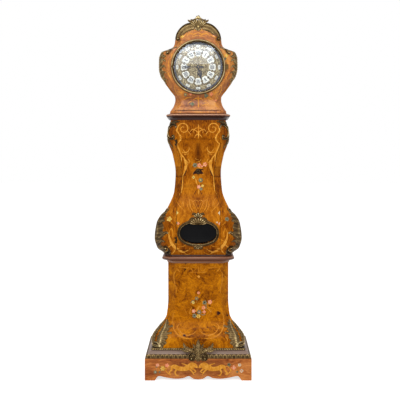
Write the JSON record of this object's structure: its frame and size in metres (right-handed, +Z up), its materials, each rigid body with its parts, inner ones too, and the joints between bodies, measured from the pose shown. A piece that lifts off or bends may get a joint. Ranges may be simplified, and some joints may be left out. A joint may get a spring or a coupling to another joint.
{
  "type": "longcase clock",
  "caption": "Longcase clock with a bombé veneered case, gilt bronze mounts, round dial under a hinged bezel, long door, weight-driven movement and seconds pendulum.",
  "frame": {"origin": "centre of the case's footprint on the floor, at the foot of the feet", "axes": "+Z up, +Y towards the flat back, so the dial faces -Y; +X to the right seen from the front"},
  "size_m": [0.646, 0.41, 2.222],
  "materials": {
    "figured_wood": "french-polished burr veneer with marquetry",
    "plinth_wood": "french-polished straight-grained veneer with marquetry",
    "dark_wood": "dark stained and waxed",
    "gilt_bronze": "antique gilt, dark in the recesses",
    "dial_brass": "matted and darkened",
    "movement_brass": "polished",
    "blued_steel": "blued and polished",
    "enamel": "glossy white enamel with dark numerals",
    "blue_enamel": "glossy dark blue",
    "clear_glass": "clear",
    "dark_glass": "dark and glossy",
    "gut_line": "twisted gut"
  },
  "bodies": {
    "case": {"plinth_front": "plinth_wood", "plinth_sides": "plinth_wood", "plinth_back": "dark_wood", "base_board": "dark_wood", "leaf_moulding": "gilt_bronze", "cove_moulding": "dark_wood", "bead_moulding": "gilt_bronze", "pedestal_front": "figured_wood", "pedestal_sides": "figured_wood", "waist_moulding": "dark_wood", "trunk_front": "figured_wood", "trunk_sides": "figured_wood", "back_boards": "dark_wood", "trunk_top_board": "dark_wood", "cornice": "dark_wood", "hood_ledge": "dark_wood", "hood_front": "figured_wood", "hood_sides": "figured_wood", "hood_top": "figured_wood", "seat_board": "dark_wood", "plinth_mount": "gilt_bronze", "pedestal_mounts": "gilt_bronze", "bulge_mounts": "gilt_bronze", "shoulder_mounts": "gilt_bronze", "hood_wings": "gilt_bronze", "hood_crest": "gilt_bronze", "door_hinge_leaves": "gilt_bronze", "bezel_hinge": "gilt_bronze", "dial_plate": "dial_brass", "dial_rim": "blue_enamel", "dial_plaques": "enamel", "dial_centre": "dial_brass", "movement_frame": "movement_brass", "back_cock": "movement_brass", "weight_line": "gut_line"},
    "door": {"trunk_door": "figured_wood", "door_knuckles": "gilt_bronze", "window_frame": "gilt_bronze", "window_glass": "dark_glass", "keyhole_escutcheon": "gilt_bronze", "door_lock": "movement_brass"},
    "door_lock_bolt": {"door_bolt": "blued_steel"},
    "bezel_door": {"bezel": "gilt_bronze", "dial_glass": "clear_glass"},
    "bezel_latch": {"bezel_button": "gilt_bronze"},
    "centre_arbor": {"centre_wheel": "movement_brass", "minute_hand": "blued_steel"},
    "hour_pipe": {"hour_wheel": "movement_brass", "hour_hand": "blued_steel"},
    "motion_arbor": {"minute_wheel": "movement_brass"},
    "third_arbor": {"third_wheel": "movement_brass"},
    "escape_arbor": {"escape_wheel": "movement_brass"},
    "great_wheel_ring": {"great_wheel": "movement_brass"},
    "drum": {"winding_drum": "movement_brass"},
    "anchor": {"pallets": "blued_steel"},
    "pendulum_rod": {"pendulum": "movement_brass"},
    "bob": {"pendulum_bob": "movement_brass"},
    "bob_nut": {"rating_nut": "movement_brass"},
    "driving_weight": {"weight": "movement_brass"},
    "line_pulley": {"weight_pulley": "movement_brass"}
  },
  "joints": [
    {"name": "door_hinge", "type": "hinge", "parent": "case", "child": "door", "pos_m": [-0.135, -0.12084, 0.843], "axis": [0, -0.0492, -0.9988], "range_deg": [0, 95]},
    {"name": "door_bolt_slide", "type": "slide", "parent": "door", "child": "door_lock_bolt", "axis": [1, 0, 0], "range_m": [0, 0.009]},
    {"name": "bezel_hinge_turn", "type": "hinge", "parent": "case", "child": "bezel_door", "pos_m": [0.1735, -0.0903, 1.906], "axis": [0, 0, 1], "range_deg": [0, 110]},
    {"name": "bezel_button_press", "type": "slide", "parent": "bezel_door", "child": "bezel_latch", "axis": [0, 1, 0], "range_m": [0, 0.002], "stiffness_N_per_m": 600, "springref_m": -0.002},
    {"name": "centre_arbor_turn", "type": "hinge", "parent": "case", "child": "centre_arbor", "pos_m": [0, 0, 1.906], "axis": [0, 1, 0], "continuous": true},
    {"name": "hour_pipe_turn", "type": "hinge", "parent": "case", "child": "hour_pipe", "pos_m": [0, -0.045, 1.906], "axis": [0, 1, 0], "continuous": true},
    {"name": "motion_arbor_turn", "type": "hinge", "parent": "case", "child": "motion_arbor", "pos_m": [-0.01804, -0.035, 1.89943], "axis": [0, 1, 0], "continuous": true},
    {"name": "third_arbor_turn", "type": "hinge", "parent": "case", "child": "third_arbor", "pos_m": [0.014, 0, 1.93117], "axis": [0, 1, 0], "continuous": true},
    {"name": "escape_arbor_turn", "type": "hinge", "parent": "case", "child": "escape_arbor", "pos_m": [0, 0, 1.95042], "axis": [0, 1, 0], "continuous": true},
    {"name": "great_wheel_turn", "type": "hinge", "parent": "case", "child": "great_wheel_ring", "pos_m": [0, 0.02, 1.8592], "axis": [0, 1, 0], "continuous": true},
    {"name": "weight_slide", "type": "slide", "parent": "case", "child": "driving_weight", "axis": [0, 0, 1], "range_m": [0, 0.8], "deforming": ["weight_line"]},
    {"name": "drum_turn", "type": "hinge", "parent": "case", "child": "drum", "pos_m": [0, 0, 1.8592], "axis": [0, 1, 0], "range_deg": [0, 4877.24]},
    {"name": "pulley_turn", "type": "hinge", "parent": "driving_weight", "child": "line_pulley", "pos_m": [-0.0368, -0.003, 0.7], "axis": [0, 1, 0], "range_deg": [-2547.48, 1]},
    {"name": "pendulum_swing", "type": "hinge", "parent": "case", "child": "pendulum_rod", "pos_m": [0, 0.062, 1.97882], "axis": [0, 1, 0], "range_deg": [-2, 2]},
    {"name": "anchor_swing", "type": "hinge", "parent": "case", "child": "anchor", "pos_m": [0, -0.012, 1.97882], "axis": [0, 1, 0], "range_deg": [-2, 2]},
    {"name": "bob_rise", "type": "slide", "parent": "pendulum_rod", "child": "bob", "axis": [0, 0, 1], "range_m": [-0.001, 0.001]},
    {"name": "rating_nut_turn", "type": "hinge", "parent": "bob", "child": "bob_nut", "pos_m": [0, 0.062, 0.88162], "axis": [0, 0, 1], "range_deg": [-361, 361]}
  ],
  "couplings": [
    {"joint": "hour_pipe_turn", "follows": "centre_arbor_turn", "ratio": 0.083333},
    {"joint": "motion_arbor_turn", "follows": "centre_arbor_turn", "ratio": -0.33333},
    {"joint": "third_arbor_turn", "follows": "centre_arbor_turn", "ratio": -8},
    {"joint": "escape_arbor_turn", "follows": "centre_arbor_turn", "ratio": 60},
    {"joint": "great_wheel_turn", "follows": "centre_arbor_turn", "ratio": -0.083333},
    {"joint": "drum_turn", "follows": "weight_slide", "rad_per_m": 106.38},
    {"joint": "pulley_turn", "follows": "weight_slide", "rad_per_m": -55.556},
    {"joint": "anchor_swing", "follows": "pendulum_swing", "ratio": 1},
    {"joint": "rating_nut_turn", "follows": "bob_rise", "rad_per_m": 6283.2}
  ]
}
